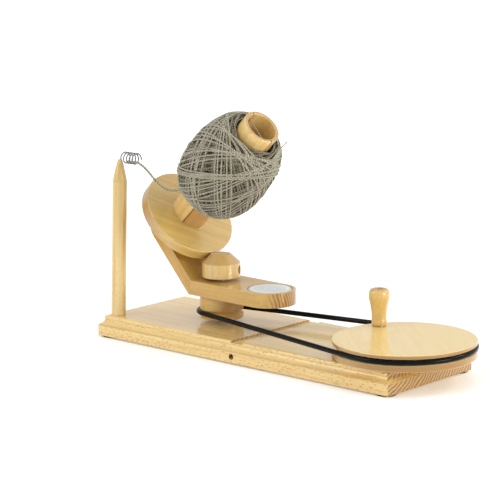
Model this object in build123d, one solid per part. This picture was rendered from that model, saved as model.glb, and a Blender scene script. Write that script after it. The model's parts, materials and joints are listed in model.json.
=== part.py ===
from build123d import *
from math import asin, cos, degrees, pi, radians, sin, tan
import os

# A hand-cranked yarn ball winder. Millimetres. +X runs along the base towards the crank wheel,
# +Z is up, and Z = 0 is the plane that its feet stand on. The pieces are drawn about the centre
# of the base, and moved at the end so that the origin is below the middle of the whole object.

# Base board
BASE_LENGTH = 503.5
BASE_WIDTH = 169.4
BASE_THICKNESS = 27.4
FOOT_HEIGHT = 2.0
BASE_TOP = FOOT_HEIGHT + BASE_THICKNESS
# Moulded edge: how far each corner is set in from the board's side, and its height
MOULDING_FLAT = [(0, 14.2), (0.9, 14.6), (0.9, 15.0), (0.3, 15.4), (0.8, 15.7)]
MOULDING_COVE = [(0.8, 15.7), (4.9, 18.2), (7.0, 22.7)]
MOULDING_LIP = [(7.0, 22.7), (6.3, 23.1), (6.3, 24.8)]
MOULDING_ARRIS = [(6.3, 24.8), (7.0, 26.65), (8.8, BASE_THICKNESS)]
CLAMP_SEAT = (-12.0, 8.5)
CLAMP_SEAT_DEPTH = 2.5
PEG_HOLE_X = -6.0
PEG_HOLE_RISE = 8.3
PEG_HOLE_RADIUS = 4.0
PEG_HOLE_DEPTH = 16.0
FOOT_RADIUS = 12.0
FOOT_X = 239.0
FOOT_Y = 72.0
SHAFT_SEAT = FOOT_HEIGHT + 9.0

# Standard hardware: M8 rod and bolts, 608 ball bearings
SHAFT_RADIUS = 4.0
NUT_FLATS = 13.0
NUT_HEIGHT = 6.5
BOLT_HEAD_HEIGHT = 5.3
COUNTERBORE_RADIUS = 10.0
BEARING_RADIUS = 11.0
BEARING_HEIGHT = 7.0
OUTER_RACE_RADIUS = 9.5
SHIELD_RADIUS = 6.3
INNER_RACE_RADIUS = 6.05
SLEEVE_RADIUS = 5.5

# Drive wheel, belt and crank grip
WHEEL_X = 211.0
WHEEL_RADIUS = 91.0
WHEEL_GAP = 2.0
WHEEL_THICKNESS = 21.1
WHEEL_BOTTOM = BASE_TOP + WHEEL_GAP
WHEEL_TOP = WHEEL_BOTTOM + WHEEL_THICKNESS
WHEEL_BEARINGS = [BASE_TOP + 4.0, BASE_TOP + 4.0 + BEARING_HEIGHT]
BELT_RADIUS = 3.25
BELT_GAP = 0.3
BELT_HEIGHT = 43.5
GROOVE_REACH = 5.0
GROOVE_FLARE = 3.0
WHEEL_BELT_RADIUS = 89.2
PULLEY_BELT_RADIUS = 31.0
CRANK_RADIUS = 76.5
CRANK_ANGLE = 153.3
GRIP_WASHER = 0.8
GRIP_TOP = 48.0
GRIP_SCREW_RADIUS = 2.5
GRIP_SCREW_BITE = 14.0
GRIP_RECESS = 5.0
GRIP_RECESS_RADIUS = 5.6
GRIP_SCREW_HEAD = GRIP_TOP - GRIP_RECESS + 0.1
# Turned side of the grip: radius and height above the wheel
GRIP_FOOT = [(9.1, GRIP_WASHER + 0.1), (9.7, 2.6)]
GRIP_BEAD = [(9.7, 2.6), (9.9, 5.8), (9.35, 9.2)]
GRIP_FLANK = [(9.35, 9.2), (10.9, 25.0), (12.3, 32.0), (13.5, 39.5), (9.6, GRIP_TOP)]

# Middle of the whole object, which reaches from the board's left end to the belt on the wheel
MIDDLE_X = (WHEEL_X + WHEEL_BELT_RADIUS + BELT_RADIUS - BASE_LENGTH / 2) / 2

# Flyer: pulley, two arms and counterweight, turning about the upright shaft
SHAFT_X = -100.0
FLYER_TURN = -2.2
PULLEY_RADIUS = 29.3
PULLEY_BOTTOM = BASE_TOP + 5.6
ARM_TOP = 86.1
ARM_THICKNESS = 19.5
ARM_BOTTOM = ARM_TOP - ARM_THICKNESS
ARM_HALF_WIDTH = 34.0
ARM_REACH = 90.0
COUNTERWEIGHT_RADIUS = 28.7
COUNTERWEIGHT_THICKNESS = 12.0
RAISED_ARM_THICKNESS = 16.8
ELBOW = -23.7
DOWEL_RADIUS = 4.0
DOWEL_HOLE = 4.05
PULLEY_BEARING = PULLEY_BOTTOM
ARM_BEARING = ARM_TOP - BEARING_HEIGHT

# Fixed cone knob that the friction disc rolls round
KNOB_RADIUS = 25.8
KNOB_BOTTOM = ARM_TOP + 3.8
KNOB_SHOULDER = 109.35
SHAFT_TOP = KNOB_SHOULDER + 5.0
KNOB_TOP_RADIUS = 13.4
KNOB_HOLE_RADIUS = 6.0
KNOB_HOLE_HEIGHT = 100.0
KNOB_HOLE_ANGLE = 27.0

# Spool: its frame leans from upright and has its origin on the friction disc's upper face
SPOOL_TILT = 46.8
SPOOL_ORIGIN = (-58.13, 0, 169.89)
# Height of the raised arm's inner face along the spool's axis
RAISED_ARM_FACE = -(
    (SPOOL_ORIGIN[0] - ELBOW) * sin(radians(SPOOL_TILT))
    + (SPOOL_ORIGIN[2] - ARM_TOP) * cos(radians(SPOOL_TILT))
)
BOSS_BOTTOM = RAISED_ARM_FACE + 1.0
SPOOL_BEARINGS = [BOSS_BOTTOM, -BEARING_HEIGHT]
AXLE_END = 10.0
DISC_RADIUS = 66.0
DISC_THICKNESS = 15.6
BOSS_RADIUS = 22.0
TUBE_RADIUS = 25.5
TUBE_BORE = 20.5
TUBE_LENGTH = 188.3
KERF_WIDTH = 2.4
KERF_DEPTH = 32.0
BALL_RADIUS = 57.8
BALL_START = 34.0
BALL_WAIST = 97.5
BALL_END = 180.7
BALL_POWER = 2.5
BALL_LIP = 163.5
BALL_FUNNEL = 157.5

# Guide post with its wire eye
POST_FOOT = (-232.0, -65.0)
POST_LEAN = 2.7
POST_RADIUS = 9.9
POST_LENGTH = 215.0
POST_TAPER = 30.0
POST_TIP_RADIUS = 2.9
POST_MIDDLE_RADIUS = 6.8
POST_SOCKET = 14.0
COIL_RADIUS = 7.25
COIL_WIRE = 0.9
COIL_PITCH = 5.4
COIL_CORNERS = 55
COIL_START_X = -220.3
COIL_HEIGHT = 246.3
COIL_LEG_BOTTOM = 228.0

# Yarn
YARN_RADIUS = 1.2
TAIL_RADIUS = 0.8
STRAND_POINTS = [
    (-216.0, -57.0, 241.4),
    (-203.0, -57.9, 241.5),
    (-195.0, -56.6, 241.4),
    (-186.0, -50.5, 232.0),
    (-176.0, -43.0, 215.5),
    (-167.0, -37.0, 206.0),
    (-158.0, -30.5, 203.2),
    (-149.5, -24.6, 205.3),
]
MOUTH_TAIL_POINTS = [
    (23.5, 0, 178.2),
    (12.0, 0, 177.3),
    (-3.0, 0, 177.0),
    (-17.0, 0, 177.5),
    (-29.5, 0, 178.3),
    (-32.8, -6.5, 176.5),
    (-29.2, -14.8, 173.6),
    (-21.5, -22.5, 169.8),
    (-11.5, -27.5, 166.6),
    (-1.0, -29.2, 164.0),
    (8.5, -27.8, 161.8),
]
LOOSE_END_POINTS = [
    (30.6, 11.5, 162.3),
    (26.4, 19.0, 163.6),
    (26.6, 23.5, 168.0),
    (27.5, 27.0, 173.2),
    (26.2, 30.4, 178.4),
    (25.0, 33.0, 183.0),
]


def cylinder(radius, low, high):
    return Pos(0, 0, low) * extrude(Circle(radius), high - low)


def tube(outer, inner, low, high):
    return Pos(0, 0, low) * extrude(Circle(outer) - Circle(inner), high - low)


def hexagon(low, high):
    blank = extrude(RegularPolygon(NUT_FLATS / 2, 6, major_radius=False), high - low)
    return Pos(0, 0, low) * blank


def nut(low):
    return hexagon(low, low + NUT_HEIGHT) - cylinder(SHAFT_RADIUS, low, low + NUT_HEIGHT)


def group(solids):
    return Compound(children=list(solids))


def on_flyer(shape):
    return Pos(SHAFT_X, 0, 0) * Rot(0, 0, FLYER_TURN) * shape


def on_spool(shape):
    return on_flyer(Pos(*SPOOL_ORIGIN) * Rot(0, SPOOL_TILT, 0) * shape)


def turned(outline):
    """Solid of revolution about Z, from an outline drawn in the XZ plane."""
    return revolve(Plane.XZ * make_face(outline), Axis.Z)


# ---- base ----

def moulding(half_width, corners):
    return [(half_width - inset, height) for inset, height in corners]


def moulded_section(half_width):
    """The board's outline: a flat, a groove, a cove, a lip and a rounded arris on each side."""
    flat = Polyline((0, 0), (half_width, 0), *moulding(half_width, MOULDING_FLAT))
    cove = ThreePointArc(*moulding(half_width, MOULDING_COVE))
    lip = Polyline(*moulding(half_width, MOULDING_LIP))
    arris = ThreePointArc(*moulding(half_width, MOULDING_ARRIS))
    edge_of_top = moulding(half_width, MOULDING_ARRIS)[-1]
    top = Polyline(edge_of_top, (0, BASE_THICKNESS), (0, 0))
    half = make_face(flat + cove + lip + arris + top)
    return half + mirror(half, Plane.YZ)


def base_blank():
    """The board's moulding runs all round with mitred corners: two crossed extrusions."""
    along = extrude(Plane.YZ * moulded_section(BASE_WIDTH / 2), BASE_LENGTH / 2, both=True)
    across = extrude(Plane.XZ * moulded_section(BASE_LENGTH / 2), BASE_WIDTH / 2, both=True)
    return Pos(0, 0, FOOT_HEIGHT) * (along & across)


def base_board():
    board = base_blank()
    seat_middle = sum(CLAMP_SEAT) / 2
    seat_length = CLAMP_SEAT[1] - CLAMP_SEAT[0]
    board -= Pos(seat_middle, 0, BASE_TOP) * Box(seat_length, BASE_WIDTH, 2 * CLAMP_SEAT_DEPTH)
    hole_height = FOOT_HEIGHT + PEG_HOLE_RISE
    peg_hole = cylinder(PEG_HOLE_RADIUS, 0, PEG_HOLE_DEPTH)
    board -= Pos(PEG_HOLE_X, -BASE_WIDTH / 2, hole_height) * Rot(-90, 0, 0) * peg_hole
    for x in (SHAFT_X, WHEEL_X):
        board -= Pos(x, 0, 0) * cylinder(SHAFT_RADIUS, 0, BASE_TOP)
        board -= Pos(x, 0, 0) * cylinder(COUNTERBORE_RADIUS, 0, SHAFT_SEAT)
    board -= Pos(WHEEL_X, 0, 0) * cylinder(COUNTERBORE_RADIUS, BASE_TOP - NUT_HEIGHT, BASE_TOP)
    board -= post_frame(cylinder(POST_RADIUS, -POST_SOCKET, POST_SOCKET))
    for x, y in foot_places():
        board -= Pos(x, y, 0) * foot_screw()
    return board


def foot_places():
    return [(x, y) for x in (-FOOT_X, FOOT_X) for y in (-FOOT_Y, FOOT_Y)]


def foot_screw():
    """Countersunk 3.5 mm wood screw, its head sunk in the rubber pad."""
    head = Pos(0, 0, 0.9) * Cone(3.0, 1.75, 1.1, align=(Align.CENTER, Align.CENTER, Align.MIN))
    return head + cylinder(1.75, FOOT_HEIGHT, FOOT_HEIGHT + 12.0)


def rubber_feet():
    pad = cylinder(FOOT_RADIUS, 0, FOOT_HEIGHT)
    pad = fillet(pad.edges().group_by(Axis.Z)[0], 0.6)
    pad -= cylinder(3.1, 0, 0.9)
    pad -= foot_screw()
    return group(Pos(x, y, 0) * pad for x, y in foot_places())


def foot_screws():
    return group(Pos(x, y, 0) * foot_screw() for x, y in foot_places())


# ---- guide post ----

def post_frame(shape):
    return Pos(*POST_FOOT, BASE_TOP) * Rot(0, POST_LEAN, 0) * shape


def coil_leg_hole():
    hole = cylinder(COIL_WIRE, COIL_LEG_BOTTOM, COIL_HEIGHT)
    return Pos(COIL_START_X, POST_FOOT[1], 0) * hole


def guide_post():
    shoulder = POST_LENGTH - POST_TAPER
    side = Polyline((0, -POST_SOCKET), (POST_RADIUS, -POST_SOCKET), (POST_RADIUS, shoulder))
    taper = ThreePointArc(
        (POST_RADIUS, shoulder),
        (POST_MIDDLE_RADIUS, shoulder + POST_TAPER / 2),
        (POST_TIP_RADIUS, POST_LENGTH),
    )
    tip = Polyline((POST_TIP_RADIUS, POST_LENGTH), (0, POST_LENGTH), (0, -POST_SOCKET))
    return post_frame(turned(side + taper + tip)) - coil_leg_hole()


def coil_corners():
    """Corners of the wire's path: its leg in the post, then the eye, with twelve to a turn."""
    centre_y = POST_FOOT[1] + COIL_RADIUS
    reach = COIL_RADIUS / cos(radians(15))
    corners = [(COIL_START_X, POST_FOOT[1], COIL_LEG_BOTTOM)]
    for step in range(COIL_CORNERS):
        turn = radians(15 + 30 * step)
        along = COIL_START_X + COIL_PITCH * step / 12
        corners.append((along, centre_y - reach * cos(turn), COIL_HEIGHT + reach * sin(turn)))
    return corners


def yarn_guide_coil():
    """More than four open turns of steel wire along X, rising from a leg in the post."""
    corners = coil_corners()
    path = FilletPolyline(*corners, radius=bend_radii(corners))
    return sweep(Plane(path @ 0, z_dir=path % 0) * Circle(COIL_WIRE), path=path)


# ---- bearings ----

def inner_race(low):
    return tube(INNER_RACE_RADIUS, SHAFT_RADIUS, low, low + BEARING_HEIGHT)


def outer_race(low):
    """Outer ring with its two thin shields."""
    shield = 0.5
    ring = tube(BEARING_RADIUS, OUTER_RACE_RADIUS, low, low + BEARING_HEIGHT)
    ring += tube(BEARING_RADIUS, SHIELD_RADIUS, low, low + shield)
    return ring + tube(BEARING_RADIUS, SHIELD_RADIUS, low + BEARING_HEIGHT - shield,
                       low + BEARING_HEIGHT)


# ---- drive wheel ----

def belt_groove(radius):
    """Ring cut from a wheel whose belt's centre line has the given radius."""
    bottom = BELT_RADIUS + BELT_GAP
    lead_in = Polyline(
        (radius, bottom), (radius + GROOVE_REACH, bottom + GROOVE_FLARE),
        (radius + GROOVE_REACH, -bottom - GROOVE_FLARE), (radius, -bottom),
    )
    root = ThreePointArc((radius, -bottom), (radius - bottom, 0), (radius, bottom))
    return Pos(0, 0, BELT_HEIGHT) * turned(lead_in + root)


def drive_wheel():
    wheel = cylinder(WHEEL_RADIUS, WHEEL_BOTTOM, WHEEL_TOP)
    wheel = fillet(wheel.edges(), 1.2)
    wheel -= belt_groove(WHEEL_BELT_RADIUS)
    pocket_top = WHEEL_BEARINGS[1] + BEARING_HEIGHT + 0.2
    wheel -= cylinder(BEARING_RADIUS, WHEEL_BOTTOM, pocket_top)
    wheel -= crank_frame(cylinder(GRIP_SCREW_RADIUS, -GRIP_SCREW_BITE, 0))
    return Pos(WHEEL_X, 0, 0) * wheel


def wheel_axle_bolt():
    head = hexagon(SHAFT_SEAT - BOLT_HEAD_HEIGHT, SHAFT_SEAT)
    bolt = head + cylinder(SHAFT_RADIUS, SHAFT_SEAT, WHEEL_BEARINGS[1] + BEARING_HEIGHT)
    return Pos(WHEEL_X, 0, 0) * bolt


def wheel_axle_nut():
    return Pos(WHEEL_X, 0, 0) * nut(BASE_TOP - NUT_HEIGHT)


def wheel_spacer():
    return Pos(WHEEL_X, 0, 0) * tube(SLEEVE_RADIUS, SHAFT_RADIUS, BASE_TOP, WHEEL_BEARINGS[0])


def wheel_bearing_inner_races():
    return Pos(WHEEL_X, 0, 0) * group(inner_race(low) for low in WHEEL_BEARINGS)


def wheel_bearing_outer_races():
    return Pos(WHEEL_X, 0, 0) * group(outer_race(low) for low in WHEEL_BEARINGS)


# ---- crank grip ----

def crank_frame(shape):
    angle = radians(CRANK_ANGLE)
    return Pos(CRANK_RADIUS * cos(angle), CRANK_RADIUS * sin(angle), WHEEL_TOP) * shape


def grip_screw():
    """Long pan-head screw that the grip turns on, with a driver slot in its head."""
    head = cylinder(4.2, GRIP_SCREW_HEAD, GRIP_SCREW_HEAD + 2.8)
    head = fillet(head.edges().group_by(Axis.Z)[-1], 1.0)
    head -= Pos(0, 0, GRIP_SCREW_HEAD + 2.8) * Box(9.0, 1.1, 2.6)
    screw = head + cylinder(GRIP_SCREW_RADIUS, -GRIP_SCREW_BITE, GRIP_SCREW_HEAD)
    return Pos(WHEEL_X, 0, 0) * crank_frame(screw)


def grip_washer():
    return Pos(WHEEL_X, 0, 0) * crank_frame(tube(7.0, GRIP_SCREW_RADIUS, 0, GRIP_WASHER))


def handle_grip():
    """Waisted grip that turns on its screw, whose head sits in a recess at the top."""
    low = GRIP_FOOT[0][1]
    foot = Polyline((0, low), *GRIP_FOOT)
    bead = ThreePointArc(*GRIP_BEAD)
    flank = Spline(GRIP_FLANK, tangents=[(0, 1), (-1, 0.35)])
    crown = Polyline(GRIP_FLANK[-1], (0, GRIP_TOP), (0, low))
    grip = turned(foot + bead + flank + crown)
    grip -= cylinder(GRIP_SCREW_RADIUS + 0.1, 0, GRIP_TOP)
    grip -= cylinder(GRIP_RECESS_RADIUS, GRIP_TOP - GRIP_RECESS, GRIP_TOP)
    return Pos(WHEEL_X, 0, 0) * crank_frame(grip)


# ---- belt ----

def drive_belt():
    """Round rubber belt: two tangent runs and an arc round each wheel."""
    distance = WHEEL_X - SHAFT_X
    lean = asin((WHEEL_BELT_RADIUS - PULLEY_BELT_RADIUS) / distance)
    run = distance * cos(lean)
    section = Circle(BELT_RADIUS)
    belt = arc_of_belt(section, WHEEL_X, WHEEL_BELT_RADIUS, -90 - degrees(lean),
                       180 + 2 * degrees(lean))
    belt += arc_of_belt(section, SHAFT_X, PULLEY_BELT_RADIUS, 90 + degrees(lean),
                        180 - 2 * degrees(lean))
    for side in (-1, 1):
        x = SHAFT_X - PULLEY_BELT_RADIUS * sin(lean)
        y = side * PULLEY_BELT_RADIUS * cos(lean)
        start = Plane((x, y, BELT_HEIGHT), z_dir=(cos(lean), side * sin(lean), 0))
        belt += extrude(start * section, run)
    return belt


def arc_of_belt(section, x, radius, start, sweep_angle):
    ring = revolve(Plane.XZ * Pos(radius, 0) * section, Axis.Z, sweep_angle)
    return Pos(x, 0, BELT_HEIGHT) * Rot(0, 0, start) * ring


# ---- upright shaft and knob ----

def at_shaft(shape):
    return Pos(SHAFT_X, 0, 0) * shape


def pulley_shaft():
    return at_shaft(cylinder(SHAFT_RADIUS, FOOT_HEIGHT + 1.0, SHAFT_TOP))


def shaft_nut():
    return at_shaft(nut(SHAFT_SEAT - 1.6 - NUT_HEIGHT))


def shaft_washer():
    return at_shaft(tube(8.0, SHAFT_RADIUS, SHAFT_SEAT - 1.6, SHAFT_SEAT))


def pulley_spacer():
    return at_shaft(tube(SLEEVE_RADIUS, SHAFT_RADIUS, BASE_TOP, PULLEY_BEARING))


def shaft_sleeve():
    return at_shaft(tube(SLEEVE_RADIUS, SHAFT_RADIUS, PULLEY_BEARING + BEARING_HEIGHT, ARM_BEARING))


def knob_collar():
    return at_shaft(tube(SLEEVE_RADIUS, SHAFT_RADIUS, ARM_TOP, KNOB_BOTTOM))


def shaft_bearing_inner_races():
    return at_shaft(group(inner_race(low) for low in (PULLEY_BEARING, ARM_BEARING)))


def knob_hole_frame(shape):
    return Pos(0, 0, KNOB_HOLE_HEIGHT) * Rot(0, 0, KNOB_HOLE_ANGLE) * Rot(0, 90, 0) * shape


def cone_knob():
    body = cylinder(KNOB_RADIUS, KNOB_BOTTOM, KNOB_SHOULDER)
    body = chamfer(body.edges().group_by(Axis.Z)[0], 0.8)
    rise = (KNOB_RADIUS - KNOB_TOP_RADIUS) / tan(radians(SPOOL_TILT))
    cone = Cone(KNOB_RADIUS, KNOB_TOP_RADIUS, rise, align=(Align.CENTER, Align.CENTER, Align.MIN))
    body += Pos(0, 0, KNOB_SHOULDER) * cone
    body -= cylinder(SHAFT_RADIUS, KNOB_BOTTOM, SHAFT_TOP)
    body -= knob_hole_frame(cylinder(KNOB_HOLE_RADIUS, KNOB_RADIUS - 12.0, KNOB_RADIUS))
    body -= knob_hole_frame(cylinder(3.0, 0, KNOB_RADIUS))
    return at_shaft(body)


def knob_set_screw():
    screw = cylinder(3.0, SHAFT_RADIUS, SHAFT_RADIUS + 9.0)
    socket = extrude(RegularPolygon(1.5, 6, major_radius=False), 3.0)
    return at_shaft(knob_hole_frame(screw - Pos(0, 0, SHAFT_RADIUS + 6.0) * socket))


# ---- flyer ----

def elbow_plane():
    """Plane of the mitre between the level arm and the raised arm."""
    tilt = radians(SPOOL_TILT)
    outer_z = ARM_TOP - RAISED_ARM_THICKNESS * cos(tilt)
    outer_x = ELBOW - RAISED_ARM_THICKNESS * sin(tilt) + (outer_z - ARM_BOTTOM) / tan(tilt)
    lean = (ELBOW - outer_x) / ARM_THICKNESS
    return Plane((ELBOW, 0, ARM_TOP), x_dir=(0, 1, 0), z_dir=(1, 0, -lean))


def elbow_dowels(radius=DOWEL_RADIUS):
    """Two glued dowels across the mitre, halfway down it."""
    dowel = cylinder(radius, -9.0, 15.0)
    middle = elbow_plane().location * Pos(0, -ARM_THICKNESS / 2, 0)
    return [middle * Pos(y, 0, 0) * dowel for y in (-17.0, 17.0)]


def arm_outline(length):
    """Plank outline with one round end, whose centre is the origin, running along +X."""
    half_round = CenterArc((0, 0), ARM_HALF_WIDTH, 90, 180)
    sides = Polyline(
        (0, -ARM_HALF_WIDTH), (length, -ARM_HALF_WIDTH), (length, ARM_HALF_WIDTH),
        (0, ARM_HALF_WIDTH),
    )
    return make_face(half_round + sides)


def half_space(side):
    """Large block on one side of the mitre: -1 behind it, 1 in front."""
    size = 400.0
    return elbow_plane().location * Pos(0, 0, side * size / 2) * Box(size, size, size)


def arm_horizontal():
    outline = Rot(0, 0, 180) * arm_outline(ARM_REACH - ELBOW + 20.0)
    arm = Pos(ARM_REACH, 0, ARM_BOTTOM) * extrude(outline, ARM_THICKNESS)
    arm -= half_space(-1)
    pocket = cylinder(COUNTERWEIGHT_RADIUS + 0.5, ARM_TOP - COUNTERWEIGHT_THICKNESS, ARM_TOP)
    arm -= Pos(ARM_REACH, 0, 0) * pocket
    arm -= cylinder(OUTER_RACE_RADIUS - 2.0, ARM_BOTTOM, ARM_TOP)
    arm -= cylinder(BEARING_RADIUS, ARM_BEARING, ARM_TOP)
    for dowel in pulley_dowels(DOWEL_HOLE) + elbow_dowels(DOWEL_HOLE):
        arm -= dowel
    return on_flyer(arm)


def arm_inclined():
    """Raised arm: rounded about the spool's axis, mitred where it meets the level arm."""
    low = RAISED_ARM_FACE - RAISED_ARM_THICKNESS
    plate = Pos(0, 0, low) * extrude(arm_outline(110.0), RAISED_ARM_THICKNESS)
    plate -= cylinder(SHAFT_RADIUS, low, RAISED_ARM_FACE)
    plate -= cylinder(COUNTERBORE_RADIUS, low, low + 8.0)
    plate = Pos(*SPOOL_ORIGIN) * Rot(0, SPOOL_TILT, 0) * plate
    plate -= half_space(1)
    for dowel in elbow_dowels(DOWEL_HOLE):
        plate -= dowel
    return on_flyer(plate)


def counterweight_disc():
    weight = cylinder(COUNTERWEIGHT_RADIUS, ARM_TOP - COUNTERWEIGHT_THICKNESS, ARM_TOP)
    weight = chamfer(weight.edges().group_by(Axis.Z)[-1], 0.5)
    return on_flyer(Pos(ARM_REACH, 0, 0) * weight)


def pulley_dowels(radius=DOWEL_RADIUS):
    """Two glued dowels that hold the pulley under the level arm."""
    dowel = cylinder(radius, ARM_BOTTOM - 14.0, ARM_BOTTOM + 12.0)
    return [Pos(0, y, 0) * dowel for y in (-18.0, 18.0)]


def pulley():
    body = cylinder(PULLEY_RADIUS, PULLEY_BOTTOM, ARM_BOTTOM)
    body = fillet(body.edges().group_by(Axis.Z)[0], 1.0)
    body -= belt_groove(PULLEY_BELT_RADIUS)
    body -= cylinder(OUTER_RACE_RADIUS - 2.0, PULLEY_BOTTOM, ARM_BOTTOM)
    body -= cylinder(BEARING_RADIUS, PULLEY_BEARING, PULLEY_BEARING + BEARING_HEIGHT)
    for dowel in pulley_dowels(DOWEL_HOLE):
        body -= dowel
    return on_flyer(body)


def flyer_bearing_outer_races():
    return on_flyer(group(outer_race(low) for low in (PULLEY_BEARING, ARM_BEARING)))


# ---- spool axle, on the flyer ----

def spool_axle_bolt():
    seat = RAISED_ARM_FACE - RAISED_ARM_THICKNESS + 8.0
    return on_spool(hexagon(seat - BOLT_HEAD_HEIGHT, seat) + cylinder(SHAFT_RADIUS, seat, AXLE_END))


def spool_washer():
    return on_spool(tube(SLEEVE_RADIUS, SHAFT_RADIUS, RAISED_ARM_FACE, BOSS_BOTTOM))


def spool_sleeve():
    low = SPOOL_BEARINGS[0] + BEARING_HEIGHT
    return on_spool(tube(SLEEVE_RADIUS, SHAFT_RADIUS, low, SPOOL_BEARINGS[1]))


def spool_bearing_inner_races():
    return on_spool(group(inner_race(low) for low in SPOOL_BEARINGS))


def spool_axle_nut():
    return on_spool(tube(SLEEVE_RADIUS, SHAFT_RADIUS, 0, 1.0) + nut(1.0))


# ---- spool ----

def spool_bearing_outer_races():
    return on_spool(group(outer_race(low) for low in SPOOL_BEARINGS))


def spool_boss():
    boss = tube(BOSS_RADIUS, OUTER_RACE_RADIUS - 2.0, BOSS_BOTTOM, -DISC_THICKNESS)
    return on_spool(boss - cylinder(BEARING_RADIUS, BOSS_BOTTOM, BOSS_BOTTOM + BEARING_HEIGHT))


def friction_disc():
    disc = cylinder(DISC_RADIUS, -DISC_THICKNESS, 0)
    disc = fillet(disc.edges(), 0.9)
    disc -= cylinder(OUTER_RACE_RADIUS - 2.0, -DISC_THICKNESS, 0)
    return on_spool(disc - cylinder(BEARING_RADIUS, -BEARING_HEIGHT, 0))


def spool_tube():
    """Hollow wooden core, with a saw kerf across its mouth that holds the yarn's first end."""
    core = tube(TUBE_RADIUS, TUBE_BORE, 0, TUBE_LENGTH)
    core = fillet(core.edges().group_by(Axis.Z)[-1], 1.4)
    kerf = Box(2 * TUBE_RADIUS + 2, KERF_WIDTH, 2 * KERF_DEPTH)
    return on_spool(core - Pos(0, 0, TUBE_LENGTH) * kerf)


def ball_radius(along):
    """Radius of the wound yarn at a distance along the spool: a lopsided superellipse."""
    reach = BALL_WAIST - BALL_START if along < BALL_WAIST else BALL_END - BALL_WAIST
    share = abs(along - BALL_WAIST) / reach
    return BALL_RADIUS * max(0.0, 1 - share ** BALL_POWER) ** (1 / BALL_POWER)


def yarn_ball():
    """Outer shape of the wound yarn, with a shallow funnel where the core comes out."""
    first = BALL_START + 2.5
    steps = 12
    span = BALL_LIP - first
    stations = [first + span * 0.5 * (1 - cos(pi * i / steps)) for i in range(steps + 1)]
    side = Spline([(ball_radius(s), s) for s in stations])
    lip_radius = ball_radius(BALL_LIP)
    close = Polyline((lip_radius, BALL_LIP), (lip_radius - 2.0, BALL_LIP),
                     (TUBE_RADIUS, BALL_FUNNEL), (0, BALL_FUNNEL), (0, first),
                     (ball_radius(first), first))
    return on_spool(turned(side + close) - cylinder(TUBE_RADIUS, 0, TUBE_LENGTH))


# ---- loose yarn: tubes of straight runs and tangent arcs ----

def bend_radii(points):
    """Radius of each bend: 0.45 of its shorter run over the tangent of half its turn."""
    radii = []
    for before, here, after in zip(points, points[1:], points[2:]):
        arrive = Vector(*here) - Vector(*before)
        leave = Vector(*after) - Vector(*here)
        turn = radians(arrive.get_angle(leave))
        radii.append(0.45 * min(arrive.length, leave.length) / tan(turn / 2))
    return radii


def yarn(name, points, radius):
    radii = bend_radii(points)
    line = FilletPolyline(*points, radius=radii)
    section = Plane(line @ 0, z_dir=line % 0) * Circle(radius)
    strand = sweep(section, path=line)
    expected = pi * radius ** 2 * line.length
    print(f"{name}: length {line.length:.1f}, volume {strand.volume:.1f} of {expected:.1f},",
          "bend radii", [round(value, 1) for value in radii])
    return strand


NODES = {
    "base_board": base_board(),
    "rubber_feet": rubber_feet(),
    "foot_screws": foot_screws(),
    "guide_post": guide_post(),
    "yarn_guide_coil": yarn_guide_coil(),
    "wheel_axle_bolt": wheel_axle_bolt(),
    "wheel_axle_nut": wheel_axle_nut(),
    "wheel_spacer": wheel_spacer(),
    "wheel_bearing_inner_races": wheel_bearing_inner_races(),
    "wheel_bearing_outer_races": wheel_bearing_outer_races(),
    "drive_wheel": drive_wheel(),
    "grip_screw": grip_screw(),
    "grip_washer": grip_washer(),
    "handle_grip": handle_grip(),
    "drive_belt": drive_belt(),
    "pulley_shaft": pulley_shaft(),
    "shaft_nut": shaft_nut(),
    "shaft_washer": shaft_washer(),
    "pulley_spacer": pulley_spacer(),
    "shaft_sleeve": shaft_sleeve(),
    "shaft_bearing_inner_races": shaft_bearing_inner_races(),
    "knob_collar": knob_collar(),
    "cone_knob": cone_knob(),
    "knob_set_screw": knob_set_screw(),
    "pulley": pulley(),
    "flyer_bearing_outer_races": flyer_bearing_outer_races(),
    "arm_horizontal": arm_horizontal(),
    "pulley_dowels": on_flyer(group(pulley_dowels())),
    "arm_inclined": arm_inclined(),
    "elbow_dowels": on_flyer(group(elbow_dowels())),
    "counterweight_disc": counterweight_disc(),
    "spool_axle_bolt": spool_axle_bolt(),
    "spool_washer": spool_washer(),
    "spool_sleeve": spool_sleeve(),
    "spool_bearing_inner_races": spool_bearing_inner_races(),
    "spool_axle_nut": spool_axle_nut(),
    "spool_bearing_outer_races": spool_bearing_outer_races(),
    "spool_boss": spool_boss(),
    "friction_disc": friction_disc(),
    "spool_tube": spool_tube(),
    "yarn_ball": yarn_ball(),
    "yarn_strand": yarn("yarn_strand", STRAND_POINTS, YARN_RADIUS),
    "mouth_yarn_tail": on_spool(yarn("mouth_yarn_tail", MOUTH_TAIL_POINTS, TAIL_RADIUS)),
    "loose_yarn_end": on_spool(yarn("loose_yarn_end", LOOSE_END_POINTS, TAIL_RADIUS)),
}

os.makedirs("parts", exist_ok=True)
for node, shape in NODES.items():
    export_step(Pos(-MIDDLE_X, 0, 0) * shape, f"parts/{node}.step")
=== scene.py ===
import json
import math

import bpy
import numpy as np
from mathutils import Matrix, Vector


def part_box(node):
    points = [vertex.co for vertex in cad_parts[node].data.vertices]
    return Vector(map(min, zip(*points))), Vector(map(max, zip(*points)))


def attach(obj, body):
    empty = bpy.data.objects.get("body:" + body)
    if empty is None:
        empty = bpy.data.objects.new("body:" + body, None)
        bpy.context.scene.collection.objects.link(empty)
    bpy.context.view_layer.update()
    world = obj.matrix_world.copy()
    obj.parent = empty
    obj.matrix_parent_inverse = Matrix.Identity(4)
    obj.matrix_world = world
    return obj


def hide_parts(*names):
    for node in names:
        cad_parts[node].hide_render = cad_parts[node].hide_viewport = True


# The looks of a hand-cranked yarn ball winder, in metres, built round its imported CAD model.

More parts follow.
